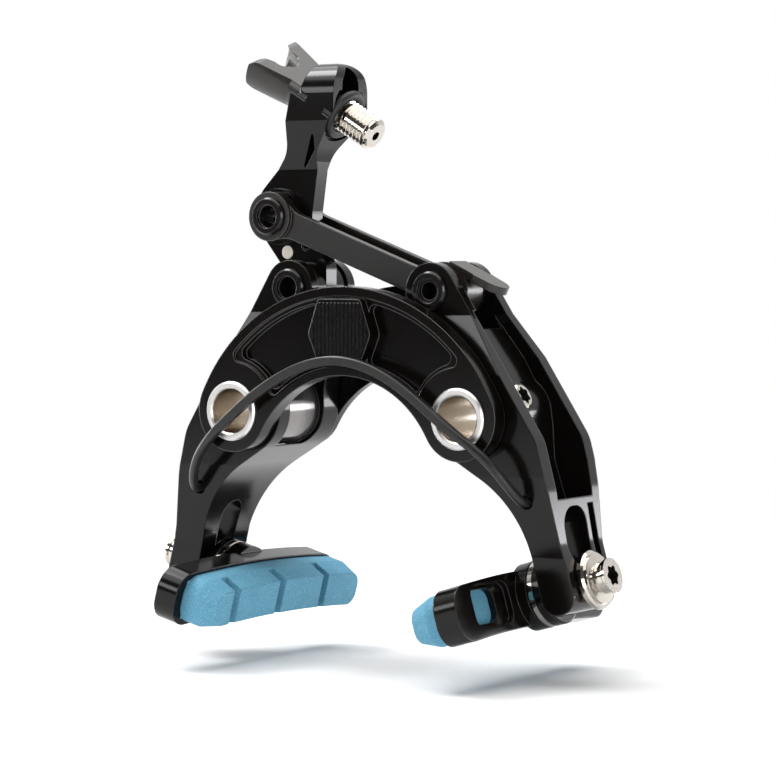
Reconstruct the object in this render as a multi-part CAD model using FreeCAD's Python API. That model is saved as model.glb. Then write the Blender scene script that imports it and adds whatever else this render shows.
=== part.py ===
import FreeCAD, Part
import math
import os

# Direct mount caliper brake, shown released: both arms swung open, no cable fitted.
# The origin lies midway between the two mounting bolts, on the plane that seats on the frame.
# +X is to the right seen from the front, -Y is the front, +Z is up. Millimetres and degrees.

# Mounting and bridge
mount_spacing = 56.0
mount_bore_dia = 9.2
bush_wall = 1.0
collar_dia = 12.5
collar_height = 0.8
seat_proud = 0.3
rear_plate_thick = 2.0
front_plate_thick = 3.8
boss_radius = 8.6
crown_outer_height = 26.3
crown_inner_height = 8.0
pocket_border = 2.0
pocket_depth = 2.3
pocket_corner = 1.4
rebate_depth = 0.7
rebate_step = 0.9
bore_land = 10.4
badge_width = 15.4
badge_taper = 2.5
badge_gap = 0.55
badge_proud = 1.2
thrust_washer_thick = 0.5
thrust_washer_dia = 16.0

# Arms
arm_depth = 21.4
arm_wall = 3.0
arm_front_wall = 3.6
arm_boss_radius = 9.4
barrel_radius = 8.2
bearing_wall = 1.2
lobe_radius = 5.8
lobe_inset = 10.5
lobe_height = 25.6
lobe_front_step = 2.2
lobe_rear_step = 3.2
lobe_gap = 10.8
foot_lean = 15.5
foot_depth = 16.4
leg_thick = 7.6
web_thick = 2.4
bolt_out = 18.2
bolt_drop = 33.7
slot_width = 6.4
slot_length = 17.6
shelf_height = 17.0
shelf_thick = 1.4
window_sill_radius = 3.4
foot_below_bolt = 5.4
foot_wall = 2.5
pocket_low = 3.4
foot_rim = 1.4
ramp_top = 5.0
front_ramp = 12.0
rear_ramp = 9.0
foot_front_ramp = (6.0, 22.0)
foot_rear_ramp = (8.0, 25.0)
spring_hole_out = 12.6
spring_hole_drop = 16.6
off_centre = 1.0

# Linkage
link_pivot_x = -24.5
link_pivot_z = 40.7
link_bar_height = 5.6
link_plate_thick = 1.8
link_eye_radius = 5.2
link_eye_swell = 0.9
cable_arm_thick = 3.8
cable_boss_radius = 5.9
lower_boss_radius = 5.3
pivot_bolt_dia = 6.0
open_pin_dia = 5.0
pivot_head_dia = 8.0
pivot_head_height = 0.9
pivot_hole_dia = 5.0
pivot_wall = 0.7
nut_height = 1.4
dowel_dia = 2.8
dowel_proud = 0.15
small_screw_dia = 2.4
dowel_offset = (-4.6, 7.4)
screw_offset = (0.2, 8.8)
cable_bush_wall = 0.8
panel_web = 1.6
panel_corner = 0.3
panel_spots = ((-1.4, -4.4), (-2.3, -9.0), (-7.5, -14.6))

# Cable head, barrel adjuster and quick release
head_x = -12.0
head_z = 63.6
head_right = 4.2
head_left = 5.4
head_top = 9.0
head_depth = 12.6
right_recess = 1.9
left_recess = 3.2
adjuster_fall = 31.0
stud_dia = 7.0
stud_reach = 12.3
stud_hole_dia = 2.0
stud_seat = 2.0
stud_chamfer = 0.8
head_slot_width = 6.0
head_slot_depth = 2.4
head_slot_rise = 8.6
housing_dia = 5.4
housing_grip = 3.4
knob_length = 15.6
knob_neck = 1.6
knob_neck_radius = 4.6
knob_body_radius = 5.4
knob_tip_radius = 7.2
knob_wall = 2.2
knob_saddle = 9.0
petal_width = 6.8
petal_turn = 64.0
o_ring_thick = 2.0
drum_radius = 5.9
tongue_length = 12.0
tongue_width = 7.0
tongue_thick = 1.6
tongue_proud = 0.3
tongue_fall = 25.0
clamp_screw_dia = 3.0
clamp_screw_turn = 41.0
cable_way_height = 3.75

# Pads and their fixings
pad_length = 54.6
pad_height = 10.2
pad_face_height = 7.2
pad_stand = 8.0
pad_waist = 0.45
pad_end_slope = 1.6
pad_back_height = 8.4
pad_back_depth = 2.4
pad_arc_radius = 310.0
pad_shift = -0.4
holder_shift = -1.8
holder_end_wall = 3.0
pad_end_radius = 4.0
groove_width = 2.2
groove_depth = 4.2
groove_pitch = 16.0
groove_shift = -3.4
holder_length = 56.4
holder_height = 11.4
holder_depth = 5.2
holder_boss_dia = 14.0
holder_boss_depth = 2.4
holder_end_radius = 4.6
window_length = 10.0
window_height = 7.0
window_corner = 2.4
window_from_end = 9.8
scoop_height = 8.6
scoop_length = 14.0
scoop_depth = 1.3
washer_dia = 14.0
dished_washer_thick = 2.3
domed_washer_thick = 1.4
dish_depth = 0.9
outer_washer_dia = 12.0
outer_washer_thick = 1.7
pad_bolt_dia = 6.0
pad_bolt_head_dia = 7.2
pad_bolt_head_height = 3.4
pad_bolt_flange_dia = 10.2
pad_bolt_flange_thick = 0.5
pad_bolt_waist = 0.3
torx_dia = 4.4
torx_depth = 2.0

# Return spring and centring screw
spring_wire_dia = 2.1
spring_clear = 0.9
spring_crown = 11.2
centring_screw_dia = 5.4
centring_head_height = 1.6
centring_head_reach = 9.9
centring_lift = 27.0
centring_shank = 0.8
centring_shank_dia = 3.6
centring_boss_wall = 0.7
centring_proud = 0.6
centring_forward = 3.4

# Clearances
slip_fit = 0.03
running_fit = 0.05
side_clear = 0.3
open_pivot_clear = 1.25
body_clear = 0.4
edge_break = 0.4

# Depth stations, from the frame seat towards the front
half_spacing = mount_spacing / 2
bush_radius = mount_bore_dia / 2 + bush_wall
rear_plate_back = -seat_proud
rear_plate_front = rear_plate_back - rear_plate_thick
arm_back = rear_plate_front - thrust_washer_thick
arm_front = arm_back - arm_depth
front_plate_back = arm_front - thrust_washer_thick
front_plate_front = front_plate_back - front_plate_thick
lobe_front = arm_front + lobe_front_step
lobe_back = arm_back - lobe_rear_step
centre_y = (lobe_front + lobe_back) / 2
gap_front = centre_y - lobe_gap / 2
gap_back = centre_y + lobe_gap / 2
link_front = gap_front + side_clear
link_back = gap_back - side_clear
eye_front = link_front - link_eye_swell
eye_back = link_back + link_eye_swell
core_front = link_front + link_plate_thick + side_clear
core_back = link_back - link_plate_thick - side_clear
foot_front = centre_y - foot_depth / 2
foot_back = centre_y + foot_depth / 2

# Stations along the pad bolt, from the middle of the leg, and along the adjuster, from the head's middle
half_leg = leg_thick / 2
slot_top = slot_length - foot_below_bolt + slot_width / 2
dished_station = -half_leg - dished_washer_thick
domed_station = dished_station - domed_washer_thick
holder_back = domed_station - holder_boss_depth
holder_face = holder_back - holder_depth
pad_face = holder_face - pad_stand
window_out = holder_length / 2 - window_from_end
stud_start = right_recess + side_clear
knob_start = left_recess + side_clear

# Pivots in the front view; both arms hang off centre by the same small turn
lobe_spot = (half_spacing - lobe_inset, lobe_height)


def swung_spot(side, spot):
    """An (x, z) place on an arm after the arm has swung off centre about its own mount axis."""
    turn = math.radians(off_centre)
    out, up = spot[0] - side * half_spacing, spot[1]
    return (side * half_spacing + out * math.cos(turn) - up * math.sin(turn),
            out * math.sin(turn) + up * math.cos(turn))


pivot_a = swung_spot(-1, (-lobe_spot[0], lobe_spot[1]))
pivot_b = swung_spot(1, lobe_spot)
pivot_c = (link_pivot_x, link_pivot_z)
pivot_t = (head_x, head_z)

Y_AXIS = FreeCAD.Vector(0, 1, 0)
ORIGIN = FreeCAD.Vector(0, 0, 0)


def point(x, y, z):
    return FreeCAD.Vector(x, y, z)


def unit(start, end):
    """Direction and distance from one (x, z) point to another."""
    dx, dz = end[0] - start[0], end[1] - start[1]
    size = math.hypot(dx, dz)
    return (dx / size, dz / size), size


def rounded_face(corners):
    """A flat face in the XZ plane from (x, z, radius) corners, each rounded by an arc."""
    count = len(corners)
    spans = []
    for index in range(count):
        x, z, radius = corners[index]
        before, _ = unit((x, z), corners[index - 1])
        after, _ = unit((x, z), corners[(index + 1) % count])
        cosine = max(-1.0, min(1.0, before[0] * after[0] + before[1] * after[1]))
        half = math.acos(cosine) / 2
        back = radius / math.tan(half)
        first = point(x + before[0] * back, 0, z + before[1] * back)
        last = point(x + after[0] * back, 0, z + after[1] * back)
        middle = [(before[axis] + after[axis]) / (2 * math.cos(half)) for axis in (0, 1)]
        depth = radius / math.sin(half) - radius
        crest = point(x + middle[0] * depth, 0, z + middle[1] * depth)
        spans.append((first, crest, last, radius))
    edges = []
    for index in range(count):
        first, crest, last, radius = spans[index]
        if radius > 0:
            edges.append(Part.Arc(first, crest, last).toShape())
        following = spans[(index + 1) % count][0]
        if last.distanceToPoint(following) > 1e-6:
            edges.append(Part.LineSegment(last, following).toShape())
    return Part.Face(Part.Wire(edges))


def prism(face, front, back):
    """An XZ face stretched along Y between two depth stations."""
    moved = face.copy()
    moved.translate(point(0, front, 0))
    solid = moved.extrude(point(0, back - front, 0))
    return solid.Solids[0] if len(solid.Solids) == 1 else solid


def round_y(centre, radius, front, back):
    """A cylinder along Y about an (x, z) centre."""
    return Part.makeCylinder(radius, back - front, point(centre[0], front, centre[1]), Y_AXIS)


def tube_y(centre, outer, inner, front, back):
    return round_y(centre, outer, front, back).cut(round_y(centre, inner, front, back))


def revolve_x(profile):
    """A solid turned about the X axis from (x, radius) points."""
    corners = [point(x, radius, 0) for x, radius in profile]
    face = Part.Face(Part.makePolygon(corners + corners[:1]))
    return face.revolve(ORIGIN, point(1, 0, 0), 360)


def lobed_star(radius, length):
    """A six-lobed driver socket along +X from the origin."""
    steps = 36
    corners = []
    for step in range(steps):
        angle = 2 * math.pi * step / steps
        reach = radius * (0.87 + 0.13 * math.cos(6 * angle))
        corners.append(point(0, reach * math.cos(angle), reach * math.sin(angle)))
    return Part.Face(Part.makePolygon(corners + corners[:1])).extrude(point(length, 0, 0))


def facing_front(shape, centre, station):
    """Turn a shape made along X so that its +X looks to the front, at an (x, z) centre."""
    turned = shape.copy()
    turned.rotate(ORIGIN, point(0, 0, 1), -90)
    turned.translate(point(centre[0], station, centre[1]))
    return turned


def left_of(shape):
    return shape.mirror(ORIGIN, point(1, 0, 0))


def swung(shape, side):
    """Turn an arm's piece with its arm about the mount axis on that side."""
    turned = shape.copy()
    turned.rotate(point(side * half_spacing, 0, 0), Y_AXIS, -off_centre)
    return turned


def tangent_arch(crown, reach, sign):
    """Centre height and radius of an arc through the crown that runs tangent to both end bosses."""
    rise = crown - sign * reach
    centre = (rise ** 2 - half_spacing ** 2) / (2 * rise)
    return centre, crown - centre


def arch_face(border, land):
    """The bridge's arch with round ends, drawn in by a border, with ends of a given radius."""
    outer_z, outer_radius = tangent_arch(crown_outer_height - border, land, 1)
    inner_z, inner_radius = tangent_arch(crown_inner_height + border, land, -1)
    outer_way, _ = unit((0, outer_z), (half_spacing, 0))
    inner_way, _ = unit((half_spacing, 0), (0, inner_z))
    outer_end = (half_spacing + land * outer_way[0], land * outer_way[1])
    inner_end = (half_spacing + land * inner_way[0], land * inner_way[1])
    turn = (math.atan2(outer_way[1], outer_way[0]) + math.atan2(inner_way[1], inner_way[0])) / 2
    round_end = (half_spacing + land * math.cos(turn), land * math.sin(turn))

    def arc(first, middle, last):
        return Part.Arc(*[point(x, 0, z) for x, z in (first, middle, last)]).toShape()

    def flip(pair):
        return (-pair[0], pair[1])

    edges = [arc(flip(outer_end), (0, outer_z + outer_radius), outer_end),
             arc(outer_end, round_end, inner_end),
             arc(inner_end, (0, inner_z + inner_radius), flip(inner_end)),
             arc(flip(inner_end), flip(round_end), flip(outer_end))]
    return Part.Face(Part.Wire(edges))


def badge_face():
    """The six-sided field that stands in the middle of the front plate's pocket."""
    shoulder = badge_width / 2 - badge_taper
    top = crown_outer_height - pocket_border - badge_gap
    foot = crown_inner_height + pocket_border + badge_gap
    waist = foot + (top - foot) * 0.45
    return rounded_face([(-shoulder, top, 1.2), (shoulder, top, 1.2), (badge_width / 2, waist, 2.0),
                         (shoulder, foot, 1.2), (-shoulder, foot, 1.2), (-badge_width / 2, waist, 2.0)])


# Bridge: front plate, rear plate and the two flanged bushes that carry the arms
def front_bridge_plate():
    plate = prism(arch_face(0, boss_radius), front_plate_front, front_plate_back)
    for border, depth, land in ((pocket_border, rebate_depth, bore_land),
                                (pocket_border + rebate_step, pocket_depth, bore_land + rebate_step)):
        floor = front_plate_front + depth
        field = prism(arch_face(border, boss_radius - border), front_plate_front - 1, floor)
        for side in (-1, 1):
            field = field.cut(round_y((side * half_spacing, 0), land, front_plate_front - 2, floor + 1))
        field = field.cut(prism(badge_face(), front_plate_front - 2, floor + 1))
        plate = plate.cut(soft_corners(field, pocket_corner))
    badge = prism(badge_face(), front_plate_front - badge_proud, front_plate_front + pocket_depth)
    plate = plate.fuse(badge).removeSplitter()
    for side in (-1, 1):
        plate = plate.cut(bush_hole(side, front_plate_front, front_plate_back))
    return plate


def bush_hole(side, front, back):
    return round_y((side * half_spacing, 0), bush_radius + slip_fit, front, back)


def soft_corners(field, radius):
    """Round every edge of a pocket that runs along Y, solid by solid, where the corner is sharp."""
    rounded = []
    for solid in field.Solids:
        upright = []
        for edge in solid.Edges:
            ends = [vertex.Point for vertex in edge.Vertexes]
            if len(ends) == 2 and math.hypot(ends[0].x - ends[1].x, ends[0].z - ends[1].z) < 1e-6:
                faces = solid.ancestorsOfType(edge, Part.Face)
                normals = [face.normalAt(*face.Surface.parameter(ends[0])) for face in faces]
                if normals[0].dot(normals[1]) < 0.9:
                    upright.append(edge)
        rounded.append(solid.makeFillet(radius, upright) if upright else solid)
    return Part.makeCompound(rounded)


def rear_bridge_plate():
    plate = prism(arch_face(0, boss_radius), rear_plate_front, rear_plate_back)
    for side in (-1, 1):
        plate = plate.cut(bush_hole(side, rear_plate_front, rear_plate_back))
    return plate


def mount_bush():
    """A flanged tube: the collar bears on the front plate, the far end stands proud on the frame."""
    bore = mount_bore_dia / 2
    lip = edge_break
    reach = -front_plate_front
    profile = [(0, bore), (reach + collar_height - lip, bore), (reach + collar_height, bore + lip),
               (reach + collar_height, collar_dia / 2 - lip), (reach + collar_height - lip, collar_dia / 2),
               (reach, collar_dia / 2), (reach, bush_radius), (0, bush_radius)]
    return facing_front(revolve_x(profile), (half_spacing, 0), 0)


def thrust_washer(front):
    return tube_y((half_spacing, 0), thrust_washer_dia / 2, bush_radius + running_fit,
                  front, front + thrust_washer_thick)


def return_spring():
    """An arched wire in front of the bridge, its ends bent back into the two legs."""
    plane = front_plate_front - collar_height - spring_clear - spring_wire_dia / 2
    sides = []
    for side in (-1, 1):
        hole_x, hole_z = swung_spot(side, (side * (half_spacing + spring_hole_out), -spring_hole_drop))
        sides.append([point(hole_x, arm_front + arm_wall - 0.8, hole_z),
                      point(hole_x, arm_front - 0.2, hole_z),
                      point(hole_x - side * 1.4, arm_front - 3.2, hole_z + 2.8),
                      point(hole_x - side * 6.0, plane + 1.0, hole_z + 9.0),
                      point(side * (half_spacing - 0.4), plane, -2.0),
                      point(side * half_spacing / 2, plane, 7.3)])
    route = sides[0] + [point(0, plane, spring_crown)] + sides[1][::-1]
    curve = Part.BSplineCurve()
    curve.interpolate(route)
    ring = Part.Wire(Part.makeCircle(spring_wire_dia / 2, route[0], Y_AXIS))
    return Part.Wire(curve.toShape()).makePipeShell([ring], True, True)


# Arms: a channel-section forging with a pivot barrel, a forked top and a slotted foot
def arm_point(out, up):
    """A front-view point measured outwards and upwards from the right mount axis."""
    return (half_spacing + out, up)


def foot_point(out, up):
    """A front-view point measured along and across the pad bolt from where it crosses the leg."""
    lean = math.radians(foot_lean)
    base = arm_point(bolt_out, -bolt_drop)
    return (base[0] + out * math.cos(lean) - up * math.sin(lean),
            base[1] + out * math.sin(lean) + up * math.cos(lean))


def corner(pair, radius):
    return (pair[0], pair[1], radius)


def tangent_spot(centre, radius, spot, side):
    """Where a line from a spot touches a circle, on the circle's left (-1) or right (1)."""
    way, size = unit(centre, spot)
    turn = math.atan2(way[1], way[0]) + side * math.acos(radius / size)
    return (centre[0] + radius * math.cos(turn), centre[1] + radius * math.sin(turn))


def arm_face():
    half = half_leg
    shoulder = arm_point(15.4, -4.4)
    hip = arm_point(-arm_boss_radius, 4.0)
    outline = rounded_face([
        corner(tangent_spot(lobe_spot, lobe_radius, hip, -1), 0),
        corner(tangent_spot(lobe_spot, lobe_radius, shoulder, 1), 0),
        corner(shoulder, 9),
        corner(arm_point(17.8, -14.0), 14),
        corner(foot_point(half, outer_washer_dia / 2 + 2.0), 10),
        corner(foot_point(half, -foot_below_bolt), 3.4),
        corner(foot_point(-half, -foot_below_bolt), 3.4),
        corner(arm_point(10.2, -17.0), 24),
        corner(arm_point(-arm_boss_radius, -5.2), arm_boss_radius),
        corner(hip, 14)])
    lobe = Part.Face(Part.Wire(Part.makeCircle(lobe_radius, point(lobe_spot[0], 0, lobe_spot[1]), Y_AXIS)))
    return outline.fuse(lobe).removeSplitter().Faces[0]


def outer_channel_face():
    """The deep channel open to the outside, from the fork down to the shelf above the pad slot."""
    half = leg_thick / 2
    return rounded_face([
        corner(arm_point(-4.0, 21.5), 0), corner(arm_point(12.0, 21.5), 0),
        corner(arm_point(30.0, -2.0), 0), corner(foot_point(half + 10, shelf_height), 0),
        corner(foot_point(-half + web_thick, shelf_height), 1.2),
        corner(arm_point(barrel_radius + 0.6, -9.0), 6),
        corner(arm_point(barrel_radius + 0.2, 0.0), 8),
        corner(arm_point(1.6, 12.0), 6)])


def foot_channel_face():
    """The second channel, beside the pad bolt's slot, below the shelf."""
    half = leg_thick / 2
    return rounded_face([
        corner(foot_point(-half + web_thick, shelf_height - shelf_thick), 1.2),
        corner(foot_point(half + 10, shelf_height - shelf_thick), 0),
        corner(foot_point(half + 10, outer_washer_dia / 2 - 2.0), 0),
        corner(foot_point(-half + web_thick, outer_washer_dia / 2 - 2.0), 1.2)])


def inner_window(front, back):
    """The window on the wheel side, around the pivot barrel, its sill rounded at the back."""
    window = prism(rounded_face([
        corner(arm_point(-30.0, 19.0), 0), corner(arm_point(-5.5, 19.0), 3),
        corner(arm_point(0.5, 8.0), 3), corner(arm_point(2.0, -7.6), 4),
        corner(arm_point(-6.0, -7.6), 4), corner(arm_point(-30.0, 2.0), 0)]), front, back)
    sill = []
    for edge in window.Edges:
        middle = edge.CenterOfMass
        if abs(middle.y - back) < 1e-6 and middle.z < -1.0:
            sill.append(edge)
    return window.makeFillet(window_sill_radius, sill)


def depth_cut(near, far, low, high, low_end, high_end):
    """A slab along X that takes a tapered slice off the arm between two heights."""
    spots = [point(0, near, low), point(0, far, high), point(0, far, high_end),
             point(0, near + low_end, high_end), point(0, near + low_end, low)]
    face = Part.Face(Part.makePolygon(spots + spots[:1]))
    slab = face.extrude(point(200, 0, 0))
    slab.translate(point(-100, 0, 0))
    return slab


def plain_arm():
    """The right arm before its side-specific holes."""
    far = 4 * lobe_height
    ramp_end = lobe_height - ramp_top
    front_low, front_high = [up - bolt_drop for up in foot_front_ramp]
    rear_low, rear_high = [up - bolt_drop for up in foot_rear_ramp]
    arm = prism(arm_face(), arm_front, arm_back)
    arm = arm.cut(depth_cut(arm_front, lobe_front, ramp_end - front_ramp, ramp_end, -5, far))
    arm = arm.cut(depth_cut(arm_back, lobe_back, ramp_end - rear_ramp, ramp_end, 5, far))
    arm = arm.cut(depth_cut(arm_front, foot_front, front_high, front_low, -5, -far))
    arm = arm.cut(depth_cut(arm_back, foot_back, rear_high, rear_low, 5, -far))
    channel_front = arm_front + arm_front_wall
    channel_back = arm_back - arm_wall
    channel = prism(outer_channel_face(), channel_front, channel_back)
    channel = channel.cut(depth_cut(channel_back, gap_back, ramp_end - rear_ramp, ramp_end, 5, far))
    channel = channel.cut(depth_cut(channel_back, foot_back - foot_wall, rear_high, rear_low, 5, -far))
    arm = arm.cut(channel)
    arm = arm.cut(prism(foot_channel_face(), centre_y + slot_width / 2 + foot_rim, foot_back - foot_rim))
    arm = arm.cut(inner_window(channel_front, foot_back - foot_wall))
    arm = arm.fuse(round_y((half_spacing, 0), barrel_radius, channel_front - 1, channel_back + 1))
    bearing_bore = bush_radius + bearing_wall + slip_fit
    arm = arm.cut(round_y((half_spacing, 0), bearing_bore, arm_front - 1, arm_back + 1))
    fork = round_y(lobe_spot, drum_radius + lobe_radius, gap_front, gap_back)
    arm = arm.cut(fork)
    arm = arm.cut(pad_slot()).cut(foot_pocket())
    hole = (half_spacing + spring_hole_out, -spring_hole_drop)
    arm = arm.cut(round_y(hole, spring_wire_dia / 2 + body_clear, arm_front - 1, arm_front + arm_wall))
    return arm.removeSplitter()


def foot_cut(front, back, low, high, start, end):
    """An arched opening along the pad bolt, its front, back and heights measured from the bolt's axis."""
    arch = (back - front) / 2 * 0.999
    face = rounded_face([(front, low, arch), (back, low, arch), (back, high, arch), (front, high, arch)])
    opening = face.extrude(point(0, start - end, 0))
    opening.translate(point(0, -start, 0))
    opening.rotate(ORIGIN, point(0, 0, 1), 90)
    return at_foot(opening)


def pad_slot():
    """The oblong slot through the foot that lets the pad bolt move up and down."""
    half = slot_width / 2
    return foot_cut(-half, half, -half, slot_top, -leg_thick, leg_thick)


def foot_pocket():
    """The hollow round the slot, open to the outside, between the front wall and the rim behind the slot."""
    front = foot_front + foot_wall - centre_y
    return foot_cut(front, slot_width / 2, pocket_low, slot_top, web_thick - half_leg, leg_thick)


def at_foot(shape):
    """Carry a shape from the pad bolt's own frame, +X outwards along the bolt, to the right foot."""
    placed = shape.copy()
    placed.rotate(ORIGIN, Y_AXIS, -foot_lean)
    base = arm_point(bolt_out, -bolt_drop)
    placed.translate(point(base[0], centre_y, base[1]))
    return placed


def arm_with_pivot(pin_dia):
    return plain_arm().cut(round_y(lobe_spot, pin_dia / 2 + slip_fit, lobe_front - 1, lobe_back + 1))


def right_arm():
    seat = centring_seat()
    inwards = seat.Rotation.multVec(Y_AXIS)
    head = centring_screw_dia / 2
    boss_top = seat.Base - inwards * (centring_head_height - centring_proud)
    boss = Part.makeCylinder(head + centring_boss_wall, centring_head_height, boss_top, inwards)
    recess = Part.makeCylinder(head + slip_fit, 2 * centring_head_height, seat.Base, inwards * -1)
    bore = Part.makeCylinder(centring_shank_dia / 2 + slip_fit, centring_shank + slip_fit, seat.Base, inwards)
    return arm_with_pivot(open_pin_dia).fuse(boss).cut(recess).cut(bore).removeSplitter()


def arm_bearing():
    outer = bush_radius + bearing_wall
    return tube_y((half_spacing, 0), outer, bush_radius + running_fit, arm_front, arm_back)


def centring_seat():
    """Where the centring screw's head sits on the pivot barrel, with +Y along the screw, inwards."""
    lift = math.radians(centring_lift)
    reach = centring_head_reach - centring_head_height
    spot = arm_point(reach * math.cos(lift), reach * math.sin(lift))
    turn = FreeCAD.Rotation(Y_AXIS, point(-math.cos(lift), 0, -math.sin(lift)))
    return FreeCAD.Placement(point(spot[0], centre_y - centring_forward, spot[1]), turn)


def centring_screw():
    head = centring_screw_dia / 2
    body = revolve_x([(0, 0), (0, head), (centring_head_height - edge_break, head),
                      (centring_head_height, head - edge_break), (centring_head_height, 0)])
    tip = point(-centring_shank, 0, 0)
    shank = Part.makeCylinder(centring_shank_dia / 2, centring_shank, tip, point(1, 0, 0))
    star = lobed_star(head * 0.72, centring_head_height)
    star.translate(point(edge_break / 2, 0, 0))
    screw = body.fuse(shank).cut(star).removeSplitter()
    screw.rotate(ORIGIN, point(0, 0, 1), -90)
    screw.Placement = centring_seat().multiply(screw.Placement)
    return screw


# Pivot bolts: hollow, with a low round head in front and a thin nut behind
def pivot_bolt(centre, dia, head_back, nut_front):
    """A hollow bolt with its head at the front and a plain end that carries the nut."""
    head = pivot_head_dia / 2
    rim = edge_break
    length = nut_front - head_back + nut_height
    profile = [(-length, 0), (-length, dia / 2), (0, dia / 2), (0, head), (pivot_head_height - rim, head),
               (pivot_head_height, head - rim), (pivot_head_height, 0)]
    bolt = revolve_x(profile)
    mouth = Part.makeCylinder(pivot_hole_dia / 2, 2 * pivot_head_height, point(rim / 2, 0, 0), point(1, 0, 0))
    bore = Part.makeCylinder(dia / 2 - pivot_wall, length + 5, point(-length - 1, 0, 0), point(1, 0, 0))
    return facing_front(bolt.cut(mouth).cut(bore), centre, head_back)


def pivot_nut(centre, dia, front):
    return tube_y(centre, pivot_head_dia / 2, dia / 2 + slip_fit, front, front + nut_height)


# Linkage: the cable arm on the left arm and the twin link across to the right arm
def cable_arm_front_face():
    """The cable arm seen from the front: round at its two pivots, waisted, with a lug at the top."""
    return rounded_face([
        corner((pivot_a[0] - lower_boss_radius, pivot_a[1] - lower_boss_radius), lower_boss_radius * 0.99),
        corner((pivot_a[0] + lower_boss_radius, pivot_a[1] - lower_boss_radius), lower_boss_radius * 0.99),
        corner((pivot_a[0] + lower_boss_radius, pivot_a[1] + 5.0), 5),
        corner((pivot_c[0] + 7.8, pivot_c[1] - 3.0), 12),
        corner((pivot_t[0] - 2.4, pivot_t[1] - 9.8), 6),
        corner((pivot_t[0] + 0.4, pivot_t[1] - 6.4), 1),
        corner((pivot_t[0] + head_right, pivot_t[1] - 1.0), 1),
        corner((pivot_t[0] + head_right, pivot_t[1] + head_top), 3.2),
        corner((pivot_t[0] - head_left, pivot_t[1] + head_top), 3.2),
        corner((pivot_t[0] - head_left - 2.4, pivot_t[1] - 2.0), 3),
        corner((pivot_t[0] - head_left - 4.0, pivot_t[1] - 9.4), 8),
        corner((pivot_c[0] - cable_boss_radius + 0.4, pivot_c[1] + 4.6), 5),
        corner((pivot_c[0] - cable_boss_radius + 0.4, pivot_c[1] - 2.8), 4),
        corner((pivot_a[0] - lower_boss_radius - 0.6, pivot_a[1] + 4.4), 4)])


def cable_arm_side_solid():
    """The cable arm seen from the side: a thin stem that flares into a wide arched head."""
    thin = cable_arm_thick / 2
    wide = head_depth / 2
    low = pivot_a[1] - 20.0
    flare_low = pivot_t[1] - 13.0
    flare_high = pivot_t[1] - 3.0
    top = pivot_t[1] + head_top
    spots = [(-thin, low), (-thin, flare_low), (-wide, flare_high), (-wide, top - wide)]
    right = [(-across, up) for across, up in reversed(spots)]

    def spot(pair):
        return point(-100, centre_y + pair[0], pair[1])

    edges = [Part.LineSegment(spot(a), spot(b)).toShape() for a, b in zip(spots, spots[1:])]
    edges.append(Part.Arc(spot(spots[-1]), spot((0, top)), spot(right[0])).toShape())
    edges += [Part.LineSegment(spot(a), spot(b)).toShape() for a, b in zip(right, right[1:])]
    edges.append(Part.LineSegment(spot(right[-1]), spot(spots[0])).toShape())
    return Part.Face(Part.Wire(edges)).extrude(point(200, 0, 0))


def along_adjuster(shape):
    """Carry a shape from the adjuster's own frame, +X towards the stud's tip, to the cable head."""
    placed = shape.copy()
    placed.rotate(ORIGIN, Y_AXIS, adjuster_fall)
    placed.translate(point(pivot_t[0], centre_y, pivot_t[1]))
    return placed


def cable_arm():
    arm = prism(cable_arm_front_face(), centre_y - head_depth, centre_y + head_depth)
    arm = arm.common(cable_arm_side_solid())
    lower_half = lobe_gap / 2 - side_clear
    boss_half = (core_back - core_front) / 2
    arm = arm.fuse(round_y(pivot_a, lower_boss_radius, centre_y - lower_half, centre_y + lower_half))
    arm = arm.fuse(round_y(pivot_c, cable_boss_radius, centre_y - boss_half, centre_y + boss_half))
    half = head_slot_width / 2
    rise = head_slot_rise
    slot = rounded_face([(-half, 0, 0), (half, 0, 0), (half, rise, half * 0.99), (-half, rise, half * 0.99)])
    slot = slot.extrude(point(0, 30 + head_slot_depth, 0))
    slot.translate(point(0, -30, 0))
    slot.rotate(ORIGIN, point(0, 0, 1), 90)
    arm = arm.cut(along_adjuster(slot))
    recess = stud_dia / 2 + o_ring_thick + 2 * body_clear
    for radius, start, end in ((stud_dia / 2 + running_fit, -20, 20), (recess, right_recess, 20),
                               (recess, -20, -left_recess)):
        way = Part.makeCylinder(radius, end - start, point(start, 0, 0), point(1, 0, 0))
        arm = arm.cut(along_adjuster(way))
    bush_bore = pivot_bolt_dia / 2 + cable_bush_wall + slip_fit
    arm = arm.cut(round_y(pivot_a, bush_bore, centre_y - 20, centre_y + 20))
    arm = arm.cut(round_y(pivot_c, pivot_bolt_dia / 2 + slip_fit, centre_y - 20, centre_y + 20))
    for spot, dia in ((dowel_spot(), dowel_dia), (screw_spot(), small_screw_dia)):
        arm = arm.cut(round_y(spot, dia / 2 + slip_fit, centre_y - 20, centre_y + 20))
    panel = rounded_face([(pivot_t[0] + out, pivot_t[1] + up, panel_corner) for out, up in panel_spots])
    for front, back in ((centre_y - 20, centre_y - panel_web / 2), (centre_y + panel_web / 2, centre_y + 20)):
        arm = arm.cut(prism(panel, front, back))
    return arm.removeSplitter()


def dowel_spot():
    return (pivot_a[0] + dowel_offset[0], pivot_a[1] + dowel_offset[1])


def screw_spot():
    return (pivot_a[0] + screw_offset[0], pivot_a[1] + screw_offset[1])


def stop_dowel():
    half = cable_arm_thick / 2
    return round_y(dowel_spot(), dowel_dia / 2, centre_y - half - dowel_proud, centre_y + half)


def keeper_screw():
    half = cable_arm_thick / 2
    screw = round_y(screw_spot(), small_screw_dia / 2, centre_y - half - dowel_proud, centre_y + half)
    star = facing_front(lobed_star(small_screw_dia * 0.32, 1.2), screw_spot(), centre_y - half + 0.8)
    return screw.cut(star)


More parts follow.
